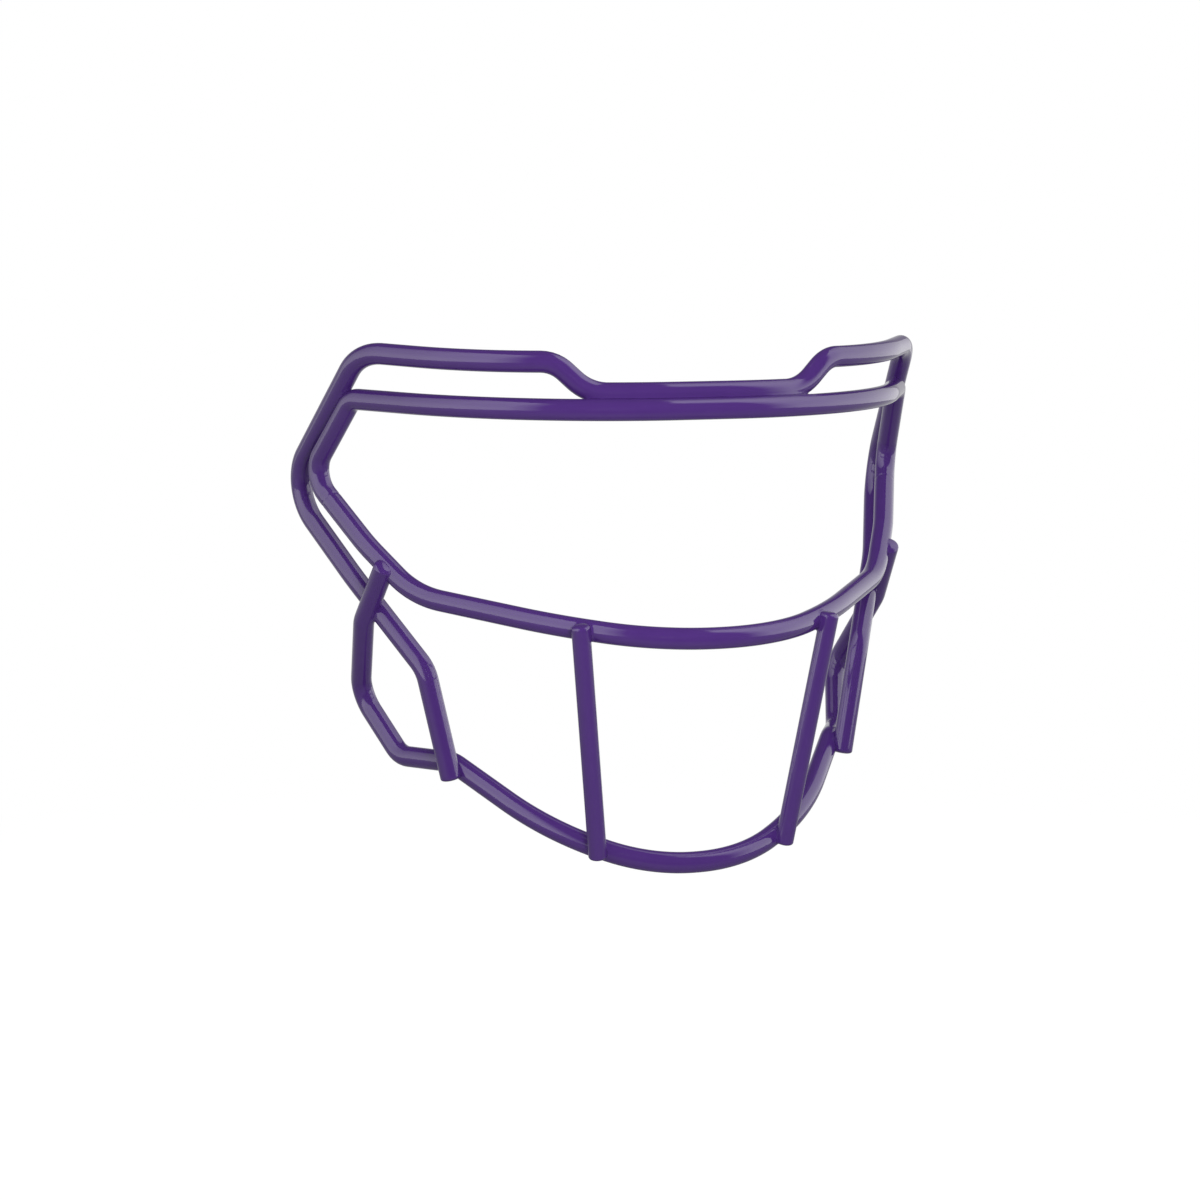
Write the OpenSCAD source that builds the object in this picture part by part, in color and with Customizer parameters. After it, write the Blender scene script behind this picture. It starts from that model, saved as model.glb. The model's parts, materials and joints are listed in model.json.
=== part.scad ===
// Football helmet facemask: bent steel rods, welded where they meet and coated with gloss polymer.
// Millimetres. X runs across the face, -Y is the front, +Z is up, and X = 0 is the plane of symmetry.
// The wearer's left is +X. Each free rod end is cut square and covered by the coat.

/* [Overall size] */
// Width of the layout that the routes' across shares follow
mask_width = 242; // [218:1:266]
// Depth of the layout that the routes' back shares follow
mask_depth = 130; // [117:1:143]
// Height of the layout that the routes' up shares follow
mask_height = 186; // [168:1:204]

/* [Rods] */
// Diameter of the bent steel rods
rod_diameter = 6.3; // [5.8:0.1:6.8]
// Diameter of the two steel uprights
upright_diameter = 5.3; // [4.8:0.1:5.8]
// Thickness of the coat over the steel
coat_thickness = 0.65; // [0.5:0.05:0.8]
// Bevel round each coated rod end
end_bevel = 0.9; // [0.6:0.1:0.9]

/* [Bend radii on the rod's centreline] */
// Brow curve of the window bar, which the brow bar's dip runs along
brow_curve_radius = 97; // [87:1:107]
// Window bar's upper corner
window_corner_radius = 8; // [7:0.5:10]
// Window bar's side bend
window_side_radius = 10; // [8:0.5:12]
// Nose bar's turn into the side
nose_side_radius = 40; // [34:1:46]
// Long curve half way along the nose bar
nose_cheek_radius = 173; // [140:1:190]
// Nose bar's curve round the front
nose_front_radius = 61; // [54:1:68]
// Lower bend of the brow bar's dip
dip_foot_radius = 17; // [14:0.5:19]
// Upper bend of the brow bar's dip
dip_head_radius = 12; // [10:0.5:14]
// Long curve of the brow bar's raised part
brow_cheek_radius = 95; // [80:1:100]
// Brow bar's upper corner
brow_corner_radius = 21; // [17:0.5:24]
// Brow bar's side bend
brow_side_radius = 17; // [13:0.5:19]
// Brow bar's lower bend
brow_foot_radius = 12; // [10:0.5:14]
// Chin bar's curve round the front
chin_front_radius = 55; // [48:1:58]
// Chin bar's curve up the cheek
chin_cheek_radius = 100; // [85:1:110]
// Bow in the slanted sides of the nose bar and the brow bar
bow_radius = 90; // [70:1:110]
// The bends that shape the chin bar into its side loops
loop_radius = 10; // [8:0.5:12]
// Bend under each hook end
hook_radius = 17; // [13:0.5:19]

/* [Welds] */
// How far crossing rods sink into each other
weld_setdown = 0.5; // [0.3:0.05:0.7]
// How far each hook sinks into the brow bar
hook_setdown = 2.5; // [2:0.1:3]
// How far each hook's end sinks into the nose bar
hook_end_setdown = 3.2; // [2.6:0.1:3.4]
// Gap between the steel of the brow rod's dip and of the window rod
seam_gap = 0.7; // [0.65:0.05:0.9]
// Gap between the steel of the same two rods at their side weld
side_gap = 1.4; // [1.35:0.05:1.6]
// Length of each side weld
side_weld_length = 12; // [8:1:15]
// Radius of the weld metal at the brow seam
seam_weld_radius = 1.5; // [1.2:0.1:1.8]
// Radius of the weld metal at each side weld
side_weld_radius = 1.7; // [1.4:0.1:2]
// Radius of the weld metal between each hook and the brow bar
hook_weld_radius = 4.1; // [3.9:0.05:4.3]
// Radius of the weld metal between each hook's end and the nose bar
hook_end_weld_radius = 3.4; // [3.3:0.05:3.6]
// Radius of the weld metal at the brow bar's lower ends
tail_weld_radius = 3.2; // [3.1:0.1:3.4]
// Radius of the weld metal at the upright's ends
upright_weld_radius = 2.9; // [2.3:0.1:3.1]
// How far each butt weld stands out of the steel rod
butt_weld_rise = 0.3; // [0.2:0.05:0.4]
// Thickness of each butt weld that closes the eye window
butt_weld_thickness = 1; // [0.6:0.1:1.6]

/* [Places] */
// Half width of the brow bar's dip
dip_half_width = 39.5; // [36:0.5:44]
// Angle through which the dip follows the brow curve before it rises
dip_turn = 14; // [12:0.5:16]
// Lean of the dip behind the window bar, from straight up
dip_lean = 39; // [30:1:45]
// Lean of the brow bar round the window bar at the upper corners
side_lean = 12; // [5:1:20]
// Run of the brow bar between its upper corner point and its side bend's corner point
brow_side_length = 74.5; // [70:0.5:84]
// Half distance between the uprights at the nose bar
upright_top_x = 43; // [40:0.5:46]
// Half distance between the uprights at the chin bar
upright_foot_x = 32.5; // [30:0.5:36]
// Upright left above the nose bar's centreline
upright_head = 3; // [2:0.25:4]
// Upright left below the chin bar's centreline
upright_tail = 4.25; // [3:0.25:5]
// Hook left beyond the window bar's centreline
hook_head = 2.5; // [2:0.25:3.5]
// Hook below its weld on the brow bar, down to the bend's corner point
hook_drop = 6; // [5:0.25:8]
// Brow bar left below the chin bar's centreline
brow_tail = 1.5; // [1:0.25:3]
// Run from the window bar's side bend to its butt weld
butt_run = 3; // [2:0.25:5]

/* [Looks] */
// Colour of the coat
coat_colour = "#5b4480"; // ["#5b4480", "#303a48", "#8d1f2a"]
// Colour of the steel rods
steel_colour = "#b8bcc2"; // ["#b8bcc2", "#8f949b"]
// Colour of the weld metal
weld_colour = "#8d8f94"; // ["#8d8f94", "#77797e"]

/* [Hidden] */
// Facets round a rod, a coat or a weld
round_steps = 72;
$fn = round_steps;
// Facets round the small welds at the hooks and tails, whose volume is more sensitive to them
weld_steps = 144;
// Steps that a whole turn of a bend would have, finer because some bends are wide
bend_steps = 360;
half_width = mask_width / 2;
rod_radius = rod_diameter / 2;
bar_radius = rod_radius + coat_thickness;
upright_rod_radius = upright_diameter / 2;
crossing_pitch = rod_diameter - weld_setdown;
upright_pitch = rod_radius + upright_rod_radius - weld_setdown;
hook_pitch = rod_diameter - hook_setdown;
hook_end_pitch = rod_diameter - hook_end_setdown;
seam_pitch = rod_diameter + seam_gap;
side_pitch = rod_diameter + side_gap;
// A bend is drawn this much fuller than the straights, which end this far inside it
bend_swell = 0.02;
bend_lap = 0.1;
// Share of the run between two corner points that stays straight, whatever the radii
straight_share = 0.01;
// Steps along a bend when a place on it is looked up
lookup_steps = 24;
across = [1, 0, 0];
// A direction counts as running across when its share along X is this much or more
across_share = 0.7;

// Corner points of the half routes as shares: across the half width, back along the depth, up the height
window_brow_share = [0.536, -0.363, 0.382];
window_corner_share = [0.88, 0.18, 0.39];
window_side_share = [0.95, 0.382, 0.236];
nose_bow_share = [0.84, 0.176, 0.109];
nose_side_share = [0.74, 0.028, 0.022];
nose_cheek_share = [0.43, -0.29, -0.015];
nose_front_share = [0.18, -0.475, -0.035];
dip_head_share = [0.42, -0.27, 0.47];
brow_cheek_share = [0.636, -0.174, 0.47];
brow_corner_share = [0.875, 0.115, 0.481];
brow_bow_share = [0.853, 0.272, 0.04];
brow_foot_share = [0.7, 0.06, -0.125];
chin_front_share = [0.145, -0.315, -0.48];
chin_cheek_share = [0.405, -0.175, -0.42];
loop_front_share = [0.615, 0.075, -0.31];
loop_foot_share = [0.72, 0.25, -0.315];
loop_back_share = [0.795, 0.415, -0.205];
// Where the brow bar comes closest to the window bar, along the window bar's side
side_touch_share = 0.62;
// Where the hook crosses the brow bar and the nose bar, along the runs below their bows
hook_brow_share = 0.316;
hook_nose_share = 0.47;
// Where the brow bar's end crosses the chin bar, along the run up to the loop
tail_crossing_share = 0.91;

function place(share) = [share.x * half_width, share.y * mask_depth, share.z * mask_height];
function unit(v) = v / norm(v);
function flip(p) = [-p.x, p.y, p.z];
// The part of v that is square to the direction d, as a unit vector
function square_to(v, d) = unit(v - (v * d) * d);
function angle_between(a, b) = acos(max(-1, min(1, unit(a) * unit(b))));

// A route is a list of [corner point, bend radius]. Its first and last points are the rod's ends.
function run_dir(route, i) = unit(route[i + 1][0] - route[i][0]);
function run_length(route, i) = norm(route[i + 1][0] - route[i][0]);
function is_end(route, i) = i == 0 || i == len(route) - 1;
function turn(route, i) = angle_between(run_dir(route, i - 1), run_dir(route, i));
function wanted_run(route, i) = is_end(route, i) ? 0 : route[i][1] * tan(turn(route, i) / 2);
// How much of their wanted runs two neighbouring bends can have
function room(route, i) =
    let (wanted = wanted_run(route, i) + wanted_run(route, i + 1))
    wanted > 0 ? min(1, (1 - straight_share) * run_length(route, i) / wanted) : 1;
function fit(route, i) = min(room(route, i - 1), room(route, i));
function bend_radius(route, i) = route[i][1] * fit(route, i);
function bend_run(route, i) = is_end(route, i) ? 0 : wanted_run(route, i) * fit(route, i);
function bend_start(route, i) =
    is_end(route, i) ? route[i][0] : route[i][0] - run_dir(route, i - 1) * bend_run(route, i);
function bend_end(route, i) =
    is_end(route, i) ? route[i][0] : route[i][0] + run_dir(route, i) * bend_run(route, i);
function bend_inward(route, i) = square_to(run_dir(route, i), run_dir(route, i - 1));
function bend_centre(route, i) =
    bend_start(route, i) + bend_inward(route, i) * bend_radius(route, i);
function bend_point(route, i, angle) =
    bend_centre(route, i) + bend_radius(route, i)
        * (run_dir(route, i - 1) * sin(angle) - bend_inward(route, i) * cos(angle));
function bend_points(route, i) =
    [for (k = [0:lookup_steps]) bend_point(route, i, turn(route, i) * k / lookup_steps)];
function route_points(route) = [
    route[0][0],
    for (i = [1:len(route) - 2]) each bend_points(route, i),
    route[len(route) - 1][0]
];
// The [point, direction] where a route that runs outwards is x from the middle
function at_x(points, x) =
    let (
        k = [for (i = [0:len(points) - 2]) if (points[i].x <= x && points[i + 1].x > x) i][0],
        step = points[k + 1] - points[k]
    )
    [points[k] + step * (x - points[k].x) / step.x, unit(step)];
function mirrored(half) = [
    for (i = [len(half) - 1:-1:0]) [flip(half[i][0]), half[i][1]],
    each half
];
// The route with this much cut off both of its ends
function shortened(route, cut) =
    let (last = len(route) - 1)
    [for (i = [0:last])
        i == 0 ? [route[0][0] + run_dir(route, 0) * cut, 0]
        : i == last ? [route[last][0] - run_dir(route, last - 1) * cut, 0]
        : route[i]];

// Window bar over the brow, and nose bar below it. Butt welds at the sides close them into one ring.
window_side = place(window_side_share);
window_corner = place(window_corner_share);
nose_bow = place(nose_bow_share);
nose_side = place(nose_side_share);
window_side_turn = angle_between(window_side - window_corner, nose_bow - window_side);
butt_point = window_side + unit(nose_bow - window_side)
    * (window_side_radius * tan(window_side_turn / 2) + butt_run);
window_half = [
    [place(window_brow_share), brow_curve_radius],
    [window_corner, window_corner_radius],
    [window_side, window_side_radius],
    [butt_point, 0]
];
nose_half = [
    [place(nose_front_share), nose_front_radius],
    [place(nose_cheek_share), nose_cheek_radius],
    [nose_side, nose_side_radius],
    [nose_bow, bow_radius],
    [butt_point, 0]
];
window_route = mirrored(window_half);
nose_route = mirrored(nose_half);

// Brow bar: the dip runs beside the window bar, the raised parts stand above it, and the sides run
// past its upper corners, back to the side bends and down to the chin bar.
brow_bend = 4;
curve_start = bend_start(window_route, brow_bend);
curve_inward = bend_inward(window_route, brow_bend);
dip_dir = across * cos(dip_turn) + curve_inward * sin(dip_turn);
dip_offset = seam_pitch * [0, sin(dip_lean), cos(dip_lean)];
dip_bow = curve_start + across * brow_curve_radius * tan(dip_turn / 2);
dip_foot = dip_bow + dip_dir * (dip_half_width - dip_bow.x) / dip_dir.x;
corner_bend = 5;
window_side_dir = run_dir(window_route, corner_bend);
corner_behind = unit(cross(across, window_side_dir));
corner_normal = corner_behind * cos(side_lean) + cross(window_side_dir, corner_behind) * sin(side_lean);
brow_corner = place(brow_corner_share);
side_weld_end = window_corner + (window_side - window_corner) * side_touch_share;
side_touch = side_weld_end + corner_normal * side_pitch;
brow_side = brow_corner + unit(side_touch - brow_corner) * brow_side_length;
brow_bow = place(brow_bow_share);
brow_foot = place(brow_foot_share);

// Chin bar: round the chin, out into the side loops and up to the hooks on the window bar.
loop_front = place(loop_front_share);
chin_cheek = place(chin_cheek_share);
tail_crossing = chin_cheek + (loop_front - chin_cheek) * tail_crossing_share;
tail_normal = unit(cross(tail_crossing - brow_foot, loop_front - chin_cheek));
tail_point = tail_crossing + tail_normal * crossing_pitch;
brow_leg_dir = unit(tail_point - brow_foot);
brow_tail_end = tail_point + brow_leg_dir * brow_tail;
brow_coat_end = brow_tail_end + brow_leg_dir * coat_thickness;
brow_slant = brow_foot - brow_bow;
nose_slant = nose_side - nose_bow;
hook_on_brow = brow_bow + brow_slant * hook_brow_share;
hook_on_nose = nose_bow + nose_slant * hook_nose_share;
hook_normal = unit(cross(hook_on_nose - hook_on_brow, unit(brow_slant) + unit(nose_slant)));
hook_low = hook_on_brow + hook_normal * hook_pitch;
hook_high = hook_on_nose + hook_normal * hook_end_pitch;
hook_dir = unit(hook_high - hook_low);

brow_half = [
    [dip_bow + dip_offset, brow_curve_radius],
    [dip_foot + dip_offset, dip_foot_radius],
    [place(dip_head_share), dip_head_radius],
    [place(brow_cheek_share), brow_cheek_radius],
    [brow_corner, brow_corner_radius],
    [brow_side, brow_side_radius],
    [brow_bow, bow_radius],
    [brow_foot, brow_foot_radius],
    [brow_tail_end, 0]
];
chin_half = [
    [place(chin_front_share), chin_front_radius],
    [chin_cheek, chin_cheek_radius],
    [loop_front, loop_radius],
    [place(loop_foot_share), loop_radius],
    [place(loop_back_share), loop_radius],
    [hook_low - hook_dir * hook_drop, hook_radius],
    [hook_high + hook_dir * hook_head, 0]
];
brow_route = mirrored(brow_half);
chin_route = mirrored(chin_half);

// Uprights: straight rods in front of the nose bar and the chin bar
upright_on_nose = at_x(route_points(nose_route), upright_top_x);
upright_on_chin = at_x(route_points(chin_route), upright_foot_x);
upright_dir = unit(upright_on_nose[0] - upright_on_chin[0]);
upright_normal = unit(cross(upright_on_nose[1] + upright_on_chin[1], upright_dir));
upright_route = [
    [upright_on_chin[0] + upright_normal * upright_pitch - upright_dir * upright_tail, 0],
    [upright_on_nose[0] + upright_normal * upright_pitch + upright_dir * upright_head, 0]
];

// The frame whose origin is at o, with its X axis along x and its Z axis along z
function frame_at(o, x, z) =
    let (y = cross(z, x))
    [[x.x, y.x, z.x, o.x], [x.y, y.y, z.y, o.y], [x.z, y.z, z.z, o.z]];
function any_square_to(d) = square_to(abs(d.x) < across_share ? across : [0, 0, 1], d);

module straight(from, to, radius) {
    d = unit(to - from);
    multmatrix(frame_at(from, any_square_to(d), d)) cylinder(h = norm(to - from), r = radius);
}

module bend(route, i, radius) {
    inward = bend_inward(route, i);
    profile_steps = $fn;
    multmatrix(frame_at(bend_centre(route, i), -inward, cross(-inward, run_dir(route, i - 1))))
        rotate_extrude(angle = turn(route, i), $fn = bend_steps)
            translate([bend_radius(route, i), 0])
                circle(r = radius + bend_swell, $fn = profile_steps);
}

// A round bar of this radius along the whole route
module along(route, radius) {
    last = len(route) - 1;
    for (i = [0:last - 1])
        straight(
            bend_end(route, i) - run_dir(route, i) * (i > 0 ? bend_lap : 0),
            bend_start(route, i + 1) + run_dir(route, i) * (i + 1 < last ? bend_lap : 0),
            radius
        );
    if (last > 1)
        for (i = [1:last - 1]) bend(route, i, radius);
}

module ring(outer, inner) difference() {
    circle(r = outer, $fn = round_steps);
    circle(r = inner, $fn = round_steps);
}

// The coat alone, as a sleeve that closes over both ends of a rod of this radius
module sleeve(route, radius) {
    last = len(route) - 1;
    for (i = [1:1:last - 2]) sleeve_run(bend_end(route, i), bend_start(route, i + 1), radius);
    for (i = [1:1:last - 1]) sleeve_bend(route, i, radius);
    sleeve_end(bend_start(route, 1), route[0][0], radius);
    sleeve_end(bend_end(route, last - 1), route[last][0], radius);
}

module sleeve_run(from, to, radius) {
    dir = unit(to - from);
    multmatrix(frame_at(from - dir * bend_lap, any_square_to(dir), dir))
        linear_extrude(height = norm(to - from) + 2 * bend_lap)
            ring(radius + coat_thickness, radius);
}

module sleeve_bend(route, i, radius) {
    inward = bend_inward(route, i);
    multmatrix(frame_at(bend_centre(route, i), -inward, cross(-inward, run_dir(route, i - 1))))
        rotate_extrude(angle = turn(route, i), $fn = bend_steps)
            translate([bend_radius(route, i), 0])
                ring(radius + coat_thickness + bend_swell, radius + bend_swell);
}

// A straight sleeve that is closed over both ends of its rod
module capped_sleeve(from, end, radius) {
    dir = unit(end - from);
    length = norm(end - from);
    outer = radius + coat_thickness;
    top = length + coat_thickness;
    multmatrix(frame_at(from, any_square_to(dir), dir))
        rotate_extrude()
            polygon([
                [0, -coat_thickness], [outer - end_bevel, -coat_thickness],
                [outer, end_bevel - coat_thickness], [outer, top - end_bevel],
                [outer - end_bevel, top], [0, top],
                [0, length], [radius, length], [radius, 0], [0, 0]
            ]);
}

module sleeve_end(from, end, radius) {
    dir = unit(end - from);
    length = norm(end - from) + bend_lap;
    outer = radius + coat_thickness;
    top = length + coat_thickness;
    multmatrix(frame_at(from - dir * bend_lap, any_square_to(dir), dir))
        rotate_extrude()
            polygon([
                [radius, 0], [outer, 0], [outer, top - end_bevel], [outer - end_bevel, top],
                [0, top], [0, length], [radius, length]
            ]);
}

// Where rods cross, each gives way to the ones before it: brow, window, nose, chin, uprights.
module brow_core() along(brow_route, rod_radius);
module window_core() along(shortened(window_route, butt_weld_thickness / 2), rod_radius);
module nose_core() along(shortened(nose_route, butt_weld_thickness / 2), rod_radius);
module chin_core() along(chin_route, rod_radius);
module upright_core() along(upright_route, upright_rod_radius);

// Draws its children on both sides
module both_sides() {
    children();
    mirror(across) children();
}

module brow_rod() color(steel_colour) brow_core();
module window_rod() color(steel_colour) window_core();
module nose_rod() color(steel_colour) nose_core();
module chin_rod() color(steel_colour) difference() {
    chin_core();
    brow_core();
    nose_core();
}
module left_upright_rod() color(steel_colour) difference() {
    upright_core();
    nose_core();
    chin_core();
}
module right_upright_rod() mirror(across) left_upright_rod();

// Balls of weld metal lie half way between two crossing rods.
module weld_ball(centre, radius) translate(centre) sphere(r = radius);
module hook_ball() weld_ball(hook_on_brow + hook_normal * hook_pitch / 2, hook_weld_radius);
module hook_end_ball() weld_ball(hook_on_nose + hook_normal * hook_end_pitch / 2, hook_end_weld_radius);
module tail_ball() weld_ball(tail_crossing + tail_normal * crossing_pitch / 2, tail_weld_radius);
module upright_ball(place_on_bar)
    weld_ball(place_on_bar + upright_normal * (rod_radius - weld_setdown / 2), upright_weld_radius);
module butt_disc() {
    half = run_dir(window_route, len(window_route) - 2) * butt_weld_thickness / 2;
    straight(butt_point - half, butt_point + half, rod_radius + butt_weld_rise);
}
module side_bead() {
    middle = side_weld_end + corner_normal * side_pitch / 2;
    straight(middle, middle - window_side_dir * side_weld_length, side_weld_radius);
}
module seam_bead() {
    corner = dip_bow + dip_offset / 2;
    along(
        mirrored([
            [corner, brow_curve_radius],
            [corner + dip_dir * norm(dip_bow - curve_start), 0]
        ]),
        seam_weld_radius
    );
}

module left_butt_weld() color(weld_colour) butt_disc();
module right_butt_weld() mirror(across) left_butt_weld();
module brow_seam_weld() color(weld_colour) difference() {
    seam_bead();
    window_core();
    brow_core();
}
module left_side_weld() color(weld_colour) difference() {
    side_bead();
    window_core();
    brow_core();
}
module right_side_weld() mirror(across) left_side_weld();
module left_hook_weld() color(weld_colour) difference() {
    $fn = weld_steps;
    hook_ball();
    brow_core();
    chin_core();
}
module right_hook_weld() mirror(across) left_hook_weld();
module left_hook_end_weld() color(weld_colour) difference() {
    $fn = weld_steps;
    hook_end_ball();
    nose_core();
    chin_core();
}
module right_hook_end_weld() mirror(across) left_hook_end_weld();
module left_tail_weld() color(weld_colour) difference() {
    $fn = weld_steps;
    tail_ball();
    brow_core();
    chin_core();
}
module right_tail_weld() mirror(across) left_tail_weld();
module left_upright_head_weld() color(weld_colour) difference() {
    upright_ball(upright_on_nose[0]);
    nose_core();
    upright_core();
}
module right_upright_head_weld() mirror(across) left_upright_head_weld();
module left_upright_foot_weld() color(weld_colour) difference() {
    upright_ball(upright_on_chin[0]);
    chin_core();
    upright_core();
}
module right_upright_foot_weld() mirror(across) left_upright_foot_weld();

// Each coat covers its rod and stops where it meets the coat of a rod before it.
module brow_coat() color(coat_colour) difference() {
    sleeve(brow_route, rod_radius);
    chin_core();
    seam_bead();
    both_sides() side_bead();
    both_sides() hook_ball();
    both_sides() tail_ball();
}
module window_coat() color(coat_colour) difference() {
    along(window_route, bar_radius);
    window_core();
    along(brow_route, bar_radius);
    seam_bead();
    both_sides() side_bead();
    both_sides() butt_disc();
}
module nose_coat() color(coat_colour) difference() {
    along(nose_route, bar_radius);
    nose_core();
    chin_core();
    both_sides() upright_core();
    both_sides() butt_disc();
    both_sides() hook_end_ball();
    both_sides() upright_ball(upright_on_nose[0]);
}
module chin_coat() color(coat_colour) difference() {
    sleeve(chin_route, rod_radius);
    both_sides() straight(brow_bow, brow_foot, bar_radius);
    both_sides() straight(brow_foot, brow_coat_end, bar_radius);
    along(nose_route, bar_radius);
    both_sides() upright_core();
    both_sides() hook_ball();
    both_sides() hook_end_ball();
    both_sides() tail_ball();
    both_sides() upright_ball(upright_on_chin[0]);
}
module left_upright_coat() color(coat_colour) difference() {
    capped_sleeve(upright_route[0][0], upright_route[1][0], upright_rod_radius);
    along(nose_route, bar_radius);
    along(chin_route, bar_radius);
    upright_ball(upright_on_nose[0]);
    upright_ball(upright_on_chin[0]);
}
module right_upright_coat() mirror(across) left_upright_coat();

window_rod();
nose_rod();
brow_rod();
chin_rod();
left_upright_rod();
right_upright_rod();
window_coat();
nose_coat();
brow_coat();
chin_coat();
left_upright_coat();
right_upright_coat();
left_butt_weld();
right_butt_weld();
brow_seam_weld();
left_side_weld();
right_side_weld();
left_hook_weld();
right_hook_weld();
left_hook_end_weld();
right_hook_end_weld();
left_tail_weld();
right_tail_weld();
left_upright_head_weld();
right_upright_head_weld();
left_upright_foot_weld();
right_upright_foot_weld();
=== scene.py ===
"""Looks of the football helmet facemask: glossy coated bars, their weld fillets, and the studio."""
import json
import math
from collections import namedtuple

import bpy
import numpy as np
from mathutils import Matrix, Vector

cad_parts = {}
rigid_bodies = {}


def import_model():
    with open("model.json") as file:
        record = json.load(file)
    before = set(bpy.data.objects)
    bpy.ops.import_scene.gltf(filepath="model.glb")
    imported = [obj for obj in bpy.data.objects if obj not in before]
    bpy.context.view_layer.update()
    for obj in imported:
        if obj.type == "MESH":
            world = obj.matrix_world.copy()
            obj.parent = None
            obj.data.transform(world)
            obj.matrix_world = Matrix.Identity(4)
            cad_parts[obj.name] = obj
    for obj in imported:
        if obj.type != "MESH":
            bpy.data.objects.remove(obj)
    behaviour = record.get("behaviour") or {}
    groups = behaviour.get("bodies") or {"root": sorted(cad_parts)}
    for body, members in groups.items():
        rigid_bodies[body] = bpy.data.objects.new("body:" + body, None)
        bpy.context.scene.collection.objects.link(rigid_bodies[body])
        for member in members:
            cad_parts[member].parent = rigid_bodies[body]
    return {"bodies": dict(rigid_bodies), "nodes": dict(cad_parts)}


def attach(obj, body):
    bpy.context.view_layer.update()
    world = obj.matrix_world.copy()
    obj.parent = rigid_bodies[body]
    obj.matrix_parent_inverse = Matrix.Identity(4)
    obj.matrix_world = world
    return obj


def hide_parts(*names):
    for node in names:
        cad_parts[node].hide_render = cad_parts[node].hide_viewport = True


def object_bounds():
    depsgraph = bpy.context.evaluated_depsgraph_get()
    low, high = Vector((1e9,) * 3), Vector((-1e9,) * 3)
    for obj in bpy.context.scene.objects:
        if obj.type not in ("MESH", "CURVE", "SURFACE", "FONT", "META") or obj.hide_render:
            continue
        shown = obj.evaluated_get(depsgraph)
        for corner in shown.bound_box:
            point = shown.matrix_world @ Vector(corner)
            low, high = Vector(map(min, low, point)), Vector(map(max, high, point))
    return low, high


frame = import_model()
CAD_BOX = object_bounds()

bl_info = {
    "name": "Helmet facemask",
    "version": (1, 0, 0),
    "blender": (4, 5, 0),
    "location": "3D View > Sidebar > Facemask",
    "description": "Builds the coated bars of a football helmet facemask and a studio round it",
    "category": "Object",
}

BODY = list(frame["bodies"])[0]
MM = 0.001

# Corner points of each bar's centre line, from the middle to its left end, in millimetres,
# each with the radius of its bend. The right half is the mirror image.
BUTT = (110.072, 39.846, 35.239)
HALF_ROUTES = {
    "window_bar": (
        ((64.856, -47.190, 71.052), 97),
        ((106.480, 23.400, 72.540), 8),
        ((114.950, 49.660, 43.896), 10),
        (BUTT, 0),
    ),
    "nose_bar": (
        ((21.780, -61.750, -6.510), 61),
        ((52.030, -37.700, -2.790), 173),
        ((89.540, 3.640, 4.092), 40),
        ((101.640, 22.880, 20.274), 90),
        (BUTT, 0),
    ),
    "brow_bar": (
        ((21.349, -42.785, 76.492), 97),
        ((39.500, -38.260, 76.587), 17),
        ((50.820, -35.100, 87.420), 12),
        ((76.956, -22.620, 87.420), 95),
        ((105.875, 14.950, 89.466), 21),
        ((118.836, 67.441, 38.212), 17),
        ((103.213, 35.360, 7.440), 90),
        ((84.700, 7.800, -23.250), 12),
        ((76.665, 3.908, -62.567), 0),
    ),
    "chin_bar": (
        ((17.545, -40.950, -89.280), 55),
        ((49.005, -22.750, -78.120), 100),
        ((74.415, 9.750, -57.660), 10),
        ((87.120, 32.500, -58.590), 10),
        ((96.195, 53.950, -38.130), 10),
        ((101.414, 29.082, -7.711), 17),
        ((98.493, 11.115, 13.873), 0),
    ),
}

# Both ends of the left upright's rod in the CAD, in millimetres, and how much higher its foot
# ends here, as in the photo
UPRIGHT_FOOT = (35.094, -35.782, -89.199)
UPRIGHT_HEAD = (46.525, -49.451, -2.016)
FOOT_RAISE = 3.3

BAR_NAMES = ("window_bar", "nose_bar", "brow_bar", "chin_bar", "left_upright", "right_upright")
FREE_ENDS = ("brow_bar", "chin_bar", "left_upright", "right_upright")
# The window bar and the nose bar run into each other end to end, so no fillet goes between them
JOINED = {"window_bar": ("nose_bar",), "nose_bar": ("window_bar",)}

# A straight or bent run of a route: its length, its bend radius or None, and the point at a length
Run = namedtuple("Run", "length radius at")
# The most that a polyline leaves its bends, in metres
LINE_ERROR = 0.00001
# Points compared with a polyline at a time
CHUNK = 4000
# A rounded end bears only on points this close to its bar, in metres
END_REACH = 0.02
# Rings down a rounded end, and the power of the curve that its edge follows
END_STEPS = 14
END_POWER = 2.6
# The groove over a butt weld: width in metres, share of the bar's radius, and fine steps beside it
SEAM_WIDTH = 0.0004
SEAM_DEPTH_SHARE = 0.03
SEAM_STEPS = 8
# A blended skin stands out by this share of the fillet's reach at most, found in this many steps
BLEND_SHARE = 0.25
PUSH_STEPS = 14

# Flow marks on a finish: sizes of waves and grain in metres, the grain's share of the height,
# and the strength and depth of the bump
Marks = namedtuple("Marks", "wave grain grain_share bump relief")
COAT_MARKS = Marks(wave=0.006, grain=0.0006, grain_share=0.05, bump=0.04, relief=0.00012)
STEEL_MARKS = Marks(wave=0.004, grain=0.0003, grain_share=0.4, bump=0.3, relief=0.0001)
WELD_MARKS = STEEL_MARKS._replace(wave=0.0015)
# Detail of the two noises that make the flow marks
WAVE_DETAIL = 1.0
GRAIN_DETAIL = 2.0
# The darker tone of a metal is this share of its colour
METAL_SHADE = 0.8
# Places of a Mix node's sockets when it mixes colours
COLOUR_A, COLOUR_B, COLOUR_RESULT = 6, 7, 2

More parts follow.
